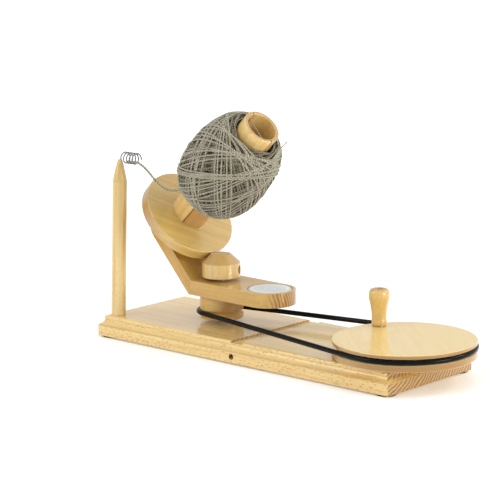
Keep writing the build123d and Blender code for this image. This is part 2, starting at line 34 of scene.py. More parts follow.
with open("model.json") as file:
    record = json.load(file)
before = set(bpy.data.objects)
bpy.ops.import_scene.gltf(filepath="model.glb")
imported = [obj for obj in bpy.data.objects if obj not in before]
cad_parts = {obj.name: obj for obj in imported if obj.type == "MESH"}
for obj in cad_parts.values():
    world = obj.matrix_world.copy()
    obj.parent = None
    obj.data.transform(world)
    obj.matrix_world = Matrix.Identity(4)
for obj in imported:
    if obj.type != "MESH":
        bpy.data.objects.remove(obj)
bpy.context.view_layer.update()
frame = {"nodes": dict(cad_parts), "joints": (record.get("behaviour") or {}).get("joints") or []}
scene = bpy.context.scene
chance = np.random.default_rng(29)

MM = 0.001
EAST, UP = Vector((1, 0, 0)), Vector((0, 0, 1))
BOARD_LOW, BOARD_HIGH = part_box("base_board")
BASE_CENTRE = Vector(((BOARD_LOW.x + BOARD_HIGH.x) / 2, 0.0, 0.0))
joints = {joint["name"]: joint for joint in frame["joints"]}

# The spool's own frame: across, sideways and along its leaning axis
SPOOL_ORIGIN = Vector(joints["spool_spin"]["pos_m"])
ALONG = Vector(joints["spool_spin"]["axis"]).normalized()
SIDEWAYS = UP.cross(ALONG).normalized()
ACROSS = SIDEWAYS.cross(ALONG)
SPOOL_AXES = np.array([ACROSS, SIDEWAYS, ALONG])

# The flyer's arms
ARM_AXIS = Vector((SIDEWAYS.y, -SIDEWAYS.x, 0))
RAISED_ARM_AXIS = Vector((-0.606, 0.0233, 0.795)).normalized()


def middle(node):
    low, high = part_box(node)
    return (low + high) / 2


# ---- camera ----

CAMERA_FROM_BASE = Vector((1.80260, -2.03246, 0.67920))
CAMERA_LENS = 153.085
CAMERA_TURNS = (0.738494, 0.196438, -0.0119395)


def add_camera():
    yaw, pitch, roll = CAMERA_TURNS
    ahead = Vector((-math.sin(yaw) * math.cos(pitch), math.cos(yaw) * math.cos(pitch),
                    -math.sin(pitch)))
    level = Vector((math.cos(yaw), math.sin(yaw), 0))
    above = level.cross(ahead)
    right = level * math.cos(roll) + above * math.sin(roll)
    up = above * math.cos(roll) - level * math.sin(roll)
    turn = Matrix((right, up, -ahead)).transposed().to_4x4()
    data = bpy.data.cameras.new("camera")
    data.lens = CAMERA_LENS
    data.sensor_width = 36
    data.clip_end = 50
    camera = bpy.data.objects.new("camera", data)
    camera.matrix_world = Matrix.Translation(BASE_CENTRE + CAMERA_FROM_BASE) @ turn
    scene.collection.objects.link(camera)
    scene.camera = camera


# ---- node materials ----

def rgb(red, green, blue):
    """A colour from its 0-255 screen values."""
    def straight(value):
        share = value / 255
        return share / 12.92 if share <= 0.04045 else ((share + 0.055) / 1.055) ** 2.4
    return (straight(red), straight(green), straight(blue), 1.0)


class Shader:
    """A material under construction, with short calls for the nodes that it is made of."""

    def __init__(self, name):
        self.material = bpy.data.materials.new(name)
        self.material.use_nodes = True
        self.tree = self.material.node_tree
        self.surface = self.tree.nodes["Principled BSDF"]

    def set(self, socket, value):
        if isinstance(value, bpy.types.NodeSocket):
            self.tree.links.new(value, socket)
        else:
            socket.default_value = value

    def node(self, kind, inputs=None, **settings):
        made = self.tree.nodes.new("ShaderNode" + kind)
        for key, value in settings.items():
            setattr(made, key, value)
        for key, value in (inputs or {}).items():
            self.set(made.inputs[key], value)
        return made

    def math(self, operation, *values):
        made = self.node("Math", operation=operation)
        for socket, value in zip(made.inputs, values):
            self.set(socket, value)
        return made.outputs[0]

    def vector(self, operation, *values, out="Vector"):
        made = self.node("VectorMath", operation=operation)
        for socket, value in zip(made.inputs, values):
            self.set(socket, value)
        return made.outputs[out]

    def dot(self, a, b):
        return self.vector("DOT_PRODUCT", a, b, out="Value")

    def stretched(self, place, scale):
        return self.vector("MULTIPLY", place, scale)

    def noise(self, place, scale, detail=2.0, distortion=0.0):
        return self.node("TexNoise", {"Vector": place, "Scale": scale, "Detail": detail,
                                      "Distortion": distortion}).outputs["Fac"]

    def cells(self, place, scale):
        return self.node("TexVoronoi", {"Vector": place, "Scale": scale}).outputs["Distance"]

    def band(self, value, low, high, first=0.0, last=1.0):
        """Value from low to high turned smoothly into first to last."""
        return self.node("MapRange", {"Value": value, "From Min": low, "From Max": high,
                                      "To Min": first, "To Max": last},
                         interpolation_type="SMOOTHSTEP").outputs["Result"]

    def mix(self, share, a, b):
        """Colour a turned into b: the colour sockets of a mix node are its seventh and eighth."""
        made = self.node("Mix", data_type="RGBA")
        for index, value in zip((0, 6, 7), (share, a, b)):
            self.set(made.inputs[index], value)
        return made.outputs[2]

    def bump(self, height, distance, strength, normal=None):
        inputs = {"Height": height, "Distance": distance, "Strength": strength}
        if normal is not None:
            inputs["Normal"] = normal
        return self.node("Bump", inputs).outputs["Normal"]

    def finish(self, **values):
        for key, value in values.items():
            self.set(self.surface.inputs[key.replace("_", " ")], value)
        return self.material


def rounded_edges(shader, radius):
    """The surface's direction, with sharp edges rounded by a radius in millimetres."""
    return shader.node("Bevel", {"Radius": radius * MM}, samples=4).outputs["Normal"]


def grain_place(shader, grain, centre, seed):
    """Object coordinates turned so that X runs along the wood's grain, and their axes."""
    grain = Vector(grain).normalized()
    side = UP.cross(grain)
    side = side.normalized() if side.length > 0.2 else Vector((0, 1, 0))
    upward = grain.cross(side)
    turn = Matrix((grain, side, upward))
    shift = Vector((0.37 * seed, 0.11 * seed, 0.07 * seed)) * 0.1
    coordinates = shader.node("TexCoord")
    place = shader.node("Mapping", {"Vector": coordinates.outputs["Object"],
                                    "Location": shift - turn @ centre,
                                    "Rotation": turn.to_euler()}).outputs["Vector"]
    normal = coordinates.outputs["Normal"]
    return place, normal, grain, upward


def growth_rings(shader, place, pith, ring):
    """The dark late wood of wavering rings round a pith: ring is their spacing in millimetres."""
    parts = shader.node("SeparateXYZ", {"Vector": place})
    wander = shader.noise(shader.stretched(place, (9, 28, 28)), 1.0, 2.0)
    offset = shader.math("MULTIPLY_ADD", wander, 0.012, -0.006)
    across = shader.math("ADD", shader.math("ADD", parts.outputs["Y"], offset), pith[0])
    depth = shader.math("ADD", shader.math("SUBTRACT", parts.outputs["Z"], offset), pith[1])
    reach = shader.math("SQRT", shader.math("ADD", shader.math("MULTIPLY", across, across),
                                            shader.math("MULTIPLY", depth, depth)))
    ring_turns = shader.math("MULTIPLY", reach, 2 * math.pi / (ring * MM))
    rings = shader.math("MULTIPLY_ADD", shader.math("SINE", ring_turns), 0.5, 0.5)
    return shader.band(rings, 0.35, 1.0)


def ray_flecks(shader, place, clouds, facing, share):
    """Short dark dashes along the grain, in patches and mostly on the quarter-sawn sides."""
    dashes = shader.cells(shader.stretched(place, (130, 520, 520)), 1.0)
    patchy = shader.band(clouds, 0.35, 0.6, 0.6, 1.0)
    sides = shader.band(facing, 0.45, 0.9, 1.0, 0.25)
    return shader.math("MULTIPLY", shader.band(dashes, 0.33, 0.18),
                       shader.math("MULTIPLY", shader.math("MULTIPLY", patchy, sides), share))


def end_grain_colour(shader, late_wood, pores, share):
    """The colour of a sawn end: strong dark rings and open pores."""
    colour = shader.mix(shader.math("MULTIPLY", late_wood, share), rgb(188, 144, 82),
                        rgb(96, 58, 22))
    return shader.mix(shader.math("MULTIPLY", pores, 0.5), colour, rgb(104, 66, 30))


def wood(name, grain, centre, seed, pith=(0.03, -0.07), ring=2.6, pale=(222, 191, 118),
         warm=(206, 167, 92), fleck=0.3, ring_share=0.12, end_share=0.55, coat=0.85,
         extra=None):
    """Lacquered beech: growth rings round a pith, fibres, ray flecks, darker end grain, and paler
    edges that are partly wear and partly a painted highlight.
    """
    shader = Shader(name)
    place, normal, grain, upward = grain_place(shader, grain, centre, seed)
    late_wood = growth_rings(shader, place, pith, ring)
    streaks = shader.noise(shader.stretched(place, (7, 150, 150)), 1.0, 4.0)
    fibres = shader.noise(shader.stretched(place, (55, 1500, 1500)), 1.0, 3.0)
    clouds = shader.noise(shader.stretched(place, (5, 16, 16)), 1.0, 3.0)
    facing_up = shader.math("ABSOLUTE", shader.dot(normal, upward))
    flecks = ray_flecks(shader, place, clouds, facing_up, fleck)
    ends = shader.band(shader.math("ABSOLUTE", shader.dot(normal, grain)), 0.5, 0.92)
    pores = shader.band(shader.cells(shader.stretched(place, (60, 1300, 1300)), 1.0), 0.28, 0.12)

    colour = shader.mix(shader.band(streaks, 0.3, 0.75), rgb(*pale), rgb(*warm))
    colour = shader.mix(shader.band(clouds, 0.35, 0.7, 0.0, 0.3), colour, rgb(*warm))
    colour = shader.mix(shader.math("MULTIPLY", late_wood, ring_share), colour, rgb(182, 138, 74))
    colour = shader.mix(shader.band(fibres, 0.55, 0.8, 0.0, 0.22), colour, rgb(160, 114, 58))
    colour = shader.mix(flecks, colour, rgb(126, 82, 38))
    colour = shader.mix(shader.math("MULTIPLY", ends, 0.85), colour,
                        end_grain_colour(shader, late_wood, pores, end_share))
    if extra:
        colour = extra(shader, colour)

    rounded = rounded_edges(shader, 0.9)
    flat = shader.node("NewGeometry").outputs["Normal"]
    edge = shader.band(shader.dot(rounded, flat), 0.995, 0.90, 0.0, 0.45)
    # Edges painted paler: partly lacquer worn thin, partly a painted highlight.
    worn_and_highlit_edge = shader.math("MULTIPLY", edge, shader.band(streaks, 0.35, 0.6, 0.35, 1.0))
    colour = shader.mix(worn_and_highlit_edge, colour, rgb(232, 206, 150))

    relief = shader.math("ADD", shader.math("MULTIPLY", fibres, 0.5),
                         shader.math("SUBTRACT", shader.math("MULTIPLY", streaks, 0.8),
                                     shader.math("ADD", flecks, pores)))
    gloss = shader.band(clouds, 0.3, 0.7, 0.3, 0.4)
    gloss = shader.math("ADD", gloss, shader.math("MULTIPLY", edge, 0.15))
    return shader.finish(Base_Color=colour, Roughness=gloss, IOR=1.5, Coat_Weight=coat,
                         Coat_Roughness=0.13, Coat_IOR=1.55,
                         Normal=shader.bump(relief, 0.05 * MM, 0.6, rounded))


STREAK_CENTRE = BASE_CENTRE + Vector((-0.160, 0.03, 0.0294))
COUNTERWEIGHT_CENTRE = middle("counterweight_disc")
# Inner and outer radius in metres of the painted shade ring round the steel disc
COUNTERWEIGHT_SHADE_RING = (0.0305, 0.0297)
DARK_LINE_ANGLE = math.radians(-60.6)


def board_streak(shader, colour):
    """A long dark mineral streak in the board's top, near its left end."""
    place = shader.node("TexCoord").outputs["Object"]
    local = shader.vector("SUBTRACT", place, STREAK_CENTRE)
    wavy = shader.math("MULTIPLY_ADD", shader.noise(place, 45.0, 2.0), 0.006, -0.003)
    parts = shader.node("SeparateXYZ", {"Vector": local})
    thin = shader.math("ABSOLUTE", shader.math("ADD", parts.outputs["Y"], wavy))
    short = shader.math("ABSOLUTE", parts.outputs["X"])
    mask = shader.math("MULTIPLY", shader.band(thin, 0.0018, 0.0003),
                       shader.band(short, 0.030, 0.006, 0.0, 0.6))
    return shader.mix(mask, colour, rgb(112, 84, 52))


def wheel_rim(shader, colour):
    """The wheel's edge, darker and more orange than its faces."""
    normal = shader.node("TexCoord").outputs["Normal"]
    edge = shader.band(shader.math("ABSOLUTE", shader.dot(normal, UP)), 0.5, 0.2, 0.0, 0.8)
    return shader.mix(edge, colour, rgb(150, 102, 18))


def counterweight_gap_shade(shader, colour):
    """Painted shade: a thin dark ring on the level arm round the steel disc, where the gap between
    them lies in shade.
    """
    place = shader.node("TexCoord").outputs["Object"]
    local = shader.vector("SUBTRACT", place, COUNTERWEIGHT_CENTRE)
    parts = shader.node("SeparateXYZ", {"Vector": local})
    level = shader.node("CombineXYZ", {"X": parts.outputs["X"], "Y": parts.outputs["Y"]})
    reach = shader.vector("LENGTH", level.outputs["Vector"], out="Value")
    line = shader.band(reach, *COUNTERWEIGHT_SHADE_RING, 0.0, 0.9)
    return shader.mix(line, colour, rgb(84, 66, 38))


def tube_dark_line_and_side(shader, colour):
    """A thin dark line along the core, on its outer side and low down, with the core darker and
    more orange on one side of the line near the disc.
    """
    place = shader.node("TexCoord").outputs["Object"]
    local = shader.vector("SUBTRACT", place, SPOOL_ORIGIN)
    line_outward = ACROSS * math.cos(DARK_LINE_ANGLE) + SIDEWAYS * math.sin(DARK_LINE_ANGLE)
    line_across = SIDEWAYS * math.cos(DARK_LINE_ANGLE) - ACROSS * math.sin(DARK_LINE_ANGLE)
    from_line = shader.dot(local, line_across)
    warmer = shader.math("MULTIPLY", shader.band(from_line, -0.0001, 0.0001, 0.0, 0.7),
                         shader.band(shader.dot(local, ALONG), 0.13, 0.06))
    colour = shader.mix(warmer, colour, rgb(176, 120, 56))
    outer = shader.band(shader.dot(local, line_outward), 0.012, 0.02)
    low = shader.band(shader.dot(local, ALONG), 0.09, 0.06)
    line = shader.math("MULTIPLY", shader.band(shader.math("ABSOLUTE", from_line),
                                               0.0013, 0.0004, 0.0, 0.9),
                       shader.math("MULTIPLY", outer, low))
    return shader.mix(line, colour, rgb(98, 58, 24))


def rubber(name, tone, shine, dust):
    """Smooth black rubber: a faint mottle, fine specks and a little dust."""
    shader = Shader(name)
    place = shader.node("TexCoord").outputs["Object"]
    mottle = shader.noise(place, 60.0, 4.0)
    specks = shader.noise(place, 2200.0, 2.0)
    dusty = shader.band(shader.noise(place, 18.0, 3.0), 0.5, 0.75, 0.0, dust)
    colour = shader.mix(shader.band(mottle, 0.3, 0.7), rgb(*tone), rgb(*(t + 5 for t in tone)))
    colour = shader.mix(dusty, colour, rgb(*(t + 16 for t in tone)))
    rounded = rounded_edges(shader, 0.3)
    return shader.finish(Base_Color=colour, Roughness=shader.band(mottle, 0.3, 0.7, *shine),
                         Specular_IOR_Level=0.13,
                         Normal=shader.bump(specks, 0.03 * MM, 0.4, rounded))


def scaled(shader, axis, length):
    """The axis times a length that another node works out."""
    made = shader.node("VectorMath", {"Scale": length}, operation="SCALE")
    made.inputs[0].default_value = axis
    return made.outputs["Vector"]


def steel(name, axis, centre, tone, shine, stripes=900.0):
    """Turned steel: fine rings round an axis, smudges, and rounded edges."""
    shader = Shader(name)
    place = shader.vector("SUBTRACT", shader.node("TexCoord").outputs["Object"], centre)
    lift = shader.dot(place, axis)
    flat = shader.vector("SUBTRACT", place, scaled(shader, axis, lift))
    reach = shader.vector("LENGTH", flat, out="Value")
    turned = shader.node("CombineXYZ", {"X": reach, "Y": lift}).outputs["Vector"]
    rings = shader.noise(turned, stripes, 3.0)
    smudge = shader.noise(place, 70.0, 3.0)
    light = tuple(min(255, t + 12) for t in tone)
    dark = tuple(t - 22 for t in tone)
    colour = shader.mix(shader.band(rings, 0.35, 0.65), rgb(*dark), rgb(*light))
    colour = shader.mix(shader.band(smudge, 0.45, 0.75, 0.0, 0.3), colour, rgb(*dark))
    rounded = rounded_edges(shader, 0.4)
    roughness = shader.math("ADD", shader.band(rings, 0.3, 0.7, *shine),
                            shader.band(smudge, 0.4, 0.8, 0.0, 0.1))
    return shader.finish(Base_Color=colour, Metallic=1.0, Roughness=roughness,
                         Anisotropic=0.3, Normal=shader.bump(rings, 0.012 * MM, 0.5, rounded))


def yarn(name, dark, mid, light, ply=8.0):
    """Two-ply wool on a tube: UV runs in millimetres along it and once round it."""
    shader = Shader(name)
    map_node = shader.node("UVMap", uv_map="strand")
    run = shader.node("SeparateXYZ", {"Vector": map_node.outputs["UV"]})
    turns = shader.math("SUBTRACT", shader.math("MULTIPLY", run.outputs["Y"], 2.0),
                        shader.math("DIVIDE", run.outputs["X"], ply * 0.5))
    ridge = shader.math("MULTIPLY_ADD",
                        shader.math("COSINE", shader.math("MULTIPLY", turns, 2 * math.pi)),
                        0.5, 0.5)
    place = shader.node("TexCoord").outputs["Object"]
    fibre_place = shader.node("CombineXYZ", {"X": shader.math("MULTIPLY", turns, 7.0),
                                             "Y": shader.math("MULTIPLY", run.outputs["X"], 0.5),
                                             "Z": shader.noise(place, 40.0)}).outputs["Vector"]
    fibres = shader.noise(fibre_place, 1.6, 3.0, 0.4)
    heather = shader.noise(place, 120.0, 3.0)
    patches = shader.noise(place, 28.0, 2.0)
    colour = shader.mix(shader.band(fibres, 0.3, 0.7), rgb(*mid), rgb(*light))
    colour = shader.mix(shader.band(heather, 0.5, 0.72, 0.0, 0.45), colour, rgb(*dark))
    colour = shader.mix(shader.band(patches, 0.4, 0.7, 0.0, 0.3), colour, rgb(*mid))
    # Painted shade in the grooves between the two plies.
    colour = shader.mix(shader.band(ridge, 0.5, 0.0, 0.0, 0.8), colour, rgb(*dark))
    relief = shader.math("ADD", ridge, shader.math("MULTIPLY", fibres, 0.5))
    return shader.finish(Base_Color=colour, Roughness=0.92, Specular_IOR_Level=0.2,
                         Sheen_Weight=0.35, Sheen_Roughness=0.5,
                         Normal=shader.bump(relief, 0.3 * MM, 0.8))


# ---- meshes made of rings ----

def ring_mesh(name, rings, closed, along):
    """A mesh from rings[strand, step, side], with a UV map of the distance along each strand."""
    strands, steps, sides, _ = rings.shape
    index = np.arange(strands * steps * sides).reshape(strands, steps, sides)
    ahead = np.roll(index, -1, axis=1)
    if not closed:
        index, ahead = index[:, :-1], ahead[:, :-1]
    round_here, round_ahead = np.roll(index, -1, axis=2), np.roll(ahead, -1, axis=2)
    faces = np.stack([index, round_here, round_ahead, ahead], axis=-1).reshape(-1, 4).tolist()
    if not closed:
        last = (steps - 1) * sides
        for strand in range(strands):
            first = strand * steps * sides
            faces.append([first + k for k in reversed(range(sides))])
            faces.append([first + last + k for k in range(sides)])
    mesh = bpy.data.meshes.new(name)
    mesh.from_pydata(rings.reshape(-1, 3).tolist(), [], faces)
    paint_strand_map(mesh, along, index.shape[1], sides)
    mesh.polygons.foreach_set("use_smooth", np.ones(len(faces), bool))
    mesh.update()
    return mesh


def paint_strand_map(mesh, along, spans, sides):
    """The UV map called strand: U in millimetres along the yarn, V once round it."""
    strands = along.shape[0]
    start, end = along[:, :spans, None], along[:, 1:spans + 1, None]
    around = np.arange(sides)[None, None, :] / sides
    corners = np.zeros((strands, spans, sides, 4, 2))
    corners[..., 0, 0] = corners[..., 1, 0] = start
    corners[..., 2, 0] = corners[..., 3, 0] = end
    corners[..., 0, 1] = corners[..., 3, 1] = around
    corners[..., 1, 1] = corners[..., 2, 1] = around + 1 / sides
    flat = corners.reshape(-1, 2)
    with_ends = np.zeros((len(mesh.loops), 2))
    with_ends[:len(flat)] = flat
    layer = mesh.uv_layers.new(name="strand")
    layer.data.foreach_set("uv", with_ends.reshape(-1))


def place_yarn(name, mesh, material, body, node):
    """A piece of yarn that rides with a body and stands for a CAD node."""
    piece = bpy.data.objects.new(name, mesh)
    scene.collection.objects.link(piece)
    piece.data.materials.append(material)
    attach(piece, body)
    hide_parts(node)
    return piece


def unit(vectors):
    return vectors / np.linalg.norm(vectors, axis=-1, keepdims=True)


# ---- loose yarn ----

def smooth_line(points):
    """The line of the NURBS spline that has these control points."""
    curve = bpy.data.curves.new("route", "CURVE")
    curve.dimensions = "3D"
    curve.resolution_u = 20
    spline = curve.splines.new("NURBS")
    spline.points.add(len(points) - 1)
    for control, point in zip(spline.points, points):
        control.co = (*point, 1.0)
    spline.order_u = 3
    spline.use_endpoint_u = True
    holder = bpy.data.objects.new("route", curve)
    mesh = bpy.data.meshes.new_from_object(holder)
    line = np.array([vertex.co for vertex in mesh.vertices], float)
    bpy.data.objects.remove(holder)
    bpy.data.meshes.remove(mesh)
    bpy.data.curves.remove(curve)
    return line


def even_steps(line, step):
    """The line's points read at an even spacing, and their distances along it."""
    run = np.concatenate([[0], np.cumsum(np.linalg.norm(np.diff(line, axis=0), axis=1))])
    wanted = np.linspace(0, run[-1], max(8, int(run[-1] / step)))
    return np.stack([np.interp(wanted, run, line[:, k]) for k in range(3)], axis=1), wanted


def carried_frames(line):
    """Two directions across the line at each point, carried along it without twist."""
    ahead = unit(np.gradient(line, axis=0))
    side = np.cross(ahead[0], (0.3, 0.2, 0.93))
    sides = []
    for direction in ahead:
        side = side - direction * np.dot(side, direction)
        side = side / np.linalg.norm(side)
        sides.append(side)
    sides = np.array(sides)
    return sides, np.cross(ahead, sides)


STRAND_SIDES = 14
STRAND_STEP = 0.5 * MM
PLY_TURN = 7.5 * MM
END_TAPER = 0.4 * MM
# Shares of the strand's radius: each ply's centre from the strand's, and each ply's own radius
PLY_OFFSET = 0.36
PLY_RADIUS = 0.64


def loose_yarn(name, node, points, radius, body, material):
    """A twisted two-ply strand along the smooth line through a route's points."""
    line, run = even_steps(smooth_line(points), STRAND_STEP)
    first, second = carried_frames(line)
    around = np.arange(STRAND_SIDES) * 2 * math.pi / STRAND_SIDES
    twist = around[None, :] - 2 * math.pi * run[:, None] / PLY_TURN
    reach = radius * (PLY_OFFSET * np.abs(np.cos(twist))
                      + np.sqrt(PLY_RADIUS ** 2 - (PLY_OFFSET * np.sin(twist)) ** 2))
    taper = np.interp(run, [0, END_TAPER, run[-1] - END_TAPER, run[-1]], [0.75, 1, 1, 0.75])
    reach = reach * taper[:, None]
    rings = (line[:, None, :] + first[:, None, :] * (reach * np.cos(around))[..., None]
             + second[:, None, :] * (reach * np.sin(around))[..., None])
    mesh = ring_mesh(name, rings[None], False, run[None] / MM)
    piece = place_yarn(name, mesh, material, body, node)


def in_world(points):
    """Points of the base's frame, in millimetres, moved to the row's frame."""
    return [BASE_CENTRE + Vector(point) * MM for point in points]


def in_spool(points):
    """Points of the spool's frame, in millimetres, moved to the row's frame."""
    return [SPOOL_ORIGIN + (ACROSS * x + SIDEWAYS * y + ALONG * t) * MM for x, y, t in points]


STRAND_POINTS = [
    (-216, -57, 241.4), (-203, -57.9, 241.5), (-195, -56.6, 241.4), (-186, -50.5, 232),
    (-176, -43, 215.5), (-167, -37, 206), (-158, -30.5, 203.2), (-149.5, -24.6, 205.3)]
MOUTH_TAIL_POINTS = [
    (23.5, 0, 178.2), (12, 0, 177.3), (-3, 0, 177), (-17, 0, 177.5), (-29.5, 0, 178.3),
    (-32.8, -6.5, 176.5), (-29.2, -14.8, 173.6), (-21.5, -22.5, 169.8), (-11.5, -27.5, 166.6),
    (-1, -29.2, 164), (8.5, -27.8, 161.8)]
LOOSE_END_POINTS = [
    (30.6, 11.5, 162.3), (26.4, 19, 163.6), (26.6, 23.5, 168), (27.5, 27, 173.2),
    (26.2, 30.4, 178.4), (25, 33, 183)]


# ---- wound ball ----

# In millimetres, with heights along the spool's axis
BALL_RADIUS = 57.8
BALL_START = 34.0
BALL_WAIST = 97.5
BALL_END = 180.7
BALL_POWER = 2.5
BALL_LIP = 163.5
BALL_FUNNEL = 157.5
BALL_CENTRE = np.array([0, 0, BALL_WAIST])
TUBE_RADIUS = 25.5
YARN_RADIUS = 0.98
WANDER = 0.16
LOOP_STEPS = 190
LOOP_SIDES = 6
CORE_DEPTH = 1.7
FUZZ_RADIUS = 0.045


def ball_half(along):
    """The ball's length from its waist to the end that a height lies towards."""
    return np.where(along < BALL_WAIST, BALL_WAIST - BALL_START, BALL_END - BALL_WAIST)


def ball_share(reach, along, grown):
    """Below 1 inside the ball's lopsided egg shape, grown by a little, and above 1 outside."""
    half = ball_half(along) + grown
    return ((reach / (BALL_RADIUS + grown)) ** BALL_POWER
            + (np.abs(along - BALL_WAIST) / half) ** BALL_POWER)


def wound_loops(tilt, azimuth, shift, lift):
    """Closed loops of yarn round the ball, each in its own leaning plane. In millimetres."""
    tilt, azimuth = np.radians(tilt)[:, None], np.radians(azimuth)[:, None]
    normal = np.stack([np.sin(tilt) * np.cos(azimuth), np.sin(tilt) * np.sin(azimuth),
                       np.cos(tilt) * np.ones_like(azimuth)], axis=-1)
    first = np.stack([-np.sin(azimuth), np.cos(azimuth), np.zeros_like(azimuth)], axis=-1)
    second = np.cross(normal, first)
    centre = BALL_CENTRE + normal * shift[:, None, None]
    around = np.linspace(0, 2 * math.pi, LOOP_STEPS, endpoint=False)[None, :, None]
    ray = first * np.cos(around) + second * np.sin(around)
    low, high = np.zeros(ray.shape[:2]), np.full(ray.shape[:2], 130.0)
    for _ in range(26):
        halfway = (low + high) / 2
        point = centre + ray * halfway[..., None]
        reach = np.hypot(point[..., 0], point[..., 1])
        inside = ball_share(reach, point[..., 2], lift[:, None]) < 1
        low, high = np.where(inside, halfway, low), np.where(inside, high, halfway)
    point = centre + ray * low[..., None]
    reach = np.hypot(point[..., 0], point[..., 1])
    beside = np.maximum(1.0, (TUBE_RADIUS + YARN_RADIUS + 0.3) / np.maximum(reach, 1.0))
    point[..., :2] *= beside[..., None]
    return point


def loop_rings(loops):
    """Rings of the wound yarn's surface along closed loops, and the distance along each."""
    ahead = unit(np.roll(loops, -1, axis=1) - np.roll(loops, 1, axis=1))
    outward = loops - BALL_CENTRE
    outward = unit(outward - ahead * np.sum(outward * ahead, axis=-1, keepdims=True))
    side = np.cross(ahead, outward)
    around = np.arange(LOOP_SIDES) * 2 * math.pi / LOOP_SIDES
    rings = (loops[:, :, None, :]
             + outward[:, :, None, :] * (YARN_RADIUS * 0.94 * np.cos(around))[None, None, :, None]
             + side[:, :, None, :] * (YARN_RADIUS * 1.06 * np.sin(around))[None, None, :, None])
    spans = np.linalg.norm(np.roll(loops, -1, axis=1) - loops, axis=-1)
    run = np.concatenate([np.zeros((len(loops), 1)), np.cumsum(spans, axis=1)], axis=1)
    return rings, run


def spool_to_world(points):
    """An array of points of the spool's frame, in millimetres, moved to the row's frame."""
    return np.array(SPOOL_ORIGIN) + points @ SPOOL_AXES * MM


def wind(name, tilt, azimuth, shift, lift, material):
    """One layer of the ball: a loop of yarn for each tilt, wandering a little off its plane."""
    loops = wound_loops(tilt, azimuth, shift, lift)
    drift = chance.normal(0, 1, (len(loops), 9, 3))
    beat = np.linspace(0, 2 * math.pi, loops.shape[1], endpoint=False)
    for order in range(1, 4):
        loops += (drift[:, None, order - 1] * np.sin(order * beat)[None, :, None]
                  + drift[:, None, order + 2] * np.cos(order * beat)[None, :, None]) * WANDER
    rings, run = loop_rings(loops)
    mesh = ring_mesh(name, spool_to_world(rings), True, run)
    place_yarn(name, mesh, material, "spool", "yarn_ball")


def under_layer(count, low_tilt, high_tilt, lift):
    """Loops spread evenly in seven groups, as the spool's slow turn lays them."""
    order = np.arange(count)
    azimuth = order * 360 * 2.0045 / 7 + chance.normal(0, 1.6, count)
    tilt = chance.uniform(low_tilt, high_tilt, count)
    shift = chance.normal(0, 2.0, count)
    heights = lift + chance.uniform(-0.4, 0.4, count)
    return tilt, np.linspace(0, 360, count, endpoint=False) + azimuth, shift, heights


def top_bundles(groups, strands, tilt, lift, spacing, fan):
    """A few bundles of near-parallel strands on the outside of the ball."""
    count = groups * strands
    group, strand = np.arange(count) // strands, np.arange(count) % strands
    azimuth = group * 360 / groups + (strand - strands / 2) * spacing
    tilts = tilt + (strand - strands / 2) * fan + chance.normal(0, 3, groups)[group]
    return (tilts, azimuth + chance.normal(0, 0.6, count), chance.normal(0, 1.2, count),
            lift + strand * 0.1 + chance.uniform(-0.2, 0.2, count))


def last_strands():
    """The strands wound last: level in the world, side by side across the ball's middle."""
    lean = math.degrees(math.acos(ALONG.z))
    shift = np.array([-6.0, -3.3, 0.2, 2.6, 6.4])
    return (np.full(5, lean) + chance.normal(0, 0.8, 5), np.full(5, 180.0) + np.linspace(-4, 4, 5),
            shift, np.full(5, 2.3))


def ball_core():
    """The inner windings: a lathed egg with a funnel at its mouth, just under the strands."""
    sides = 72
    along = BALL_WAIST - np.cos(np.linspace(0, math.pi, 48)) * 62
    along = np.clip(along, BALL_START + 4, BALL_LIP)
    share = (np.abs(along - BALL_WAIST) / ball_half(along)) ** BALL_POWER
    reach = (BALL_RADIUS - CORE_DEPTH) * np.maximum(0.0, 1 - share) ** (1 / BALL_POWER)
    along = np.concatenate([[BALL_START + 4], along,
                            [BALL_FUNNEL + 3, BALL_FUNNEL, BALL_FUNNEL - 4]])
    reach = np.concatenate([[TUBE_RADIUS + 0.4], reach, [33.0, 27.5, TUBE_RADIUS + 0.2]])
    turn = np.linspace(0, 2 * math.pi, sides, endpoint=False)
    rings = np.stack([reach[:, None] * np.cos(turn), reach[:, None] * np.sin(turn),
                      np.repeat(along[:, None], sides, axis=1)], axis=-1)
    return ring_mesh("yarn_ball_core", spool_to_world(rings[None]), False,
                     np.cumsum(np.ones((1, len(along))), axis=1) * 2)


def yarn_fuzz(count):
    """Short stray fibres standing off the ball, as open three-sided hairs."""
    turn = chance.uniform(0, 2 * math.pi, count)
    along = chance.uniform(44, 160, count)
    share = (np.abs(along - BALL_WAIST) / ball_half(along)) ** BALL_POWER
    reach = (BALL_RADIUS + 1.2) * (1 - share) ** (1 / BALL_POWER)
    root = np.stack([reach * np.cos(turn), reach * np.sin(turn), along], axis=-1)
    out = unit(root - BALL_CENTRE)
    lean = unit(np.cross(out, chance.normal(0, 1, (count, 3))))
    length = chance.uniform(2.0, 4.5, count)[:, None, None]
    step = np.linspace(0, 1, 5)[None, :, None]
    curl = chance.uniform(0.4, 1.6, (count, 1, 1))
    line = (root[:, None] + out[:, None] * np.sin(step * curl) * length * 0.5
            + lean[:, None] * step * length)
    other = np.cross(out, lean)
    around = np.arange(3) * 2 * math.pi / 3
    thin = FUZZ_RADIUS * (1.0 - 0.6 * step[..., None])
    rings = (line[:, :, None]
             + out[:, None, None] * np.cos(around)[None, None, :, None] * thin
             + other[:, None, None] * np.sin(around)[None, None, :, None] * thin)
    run = np.repeat(np.linspace(0, 3, 5)[None], count, axis=0)
    return ring_mesh("yarn_fuzz", spool_to_world(rings), False, run)


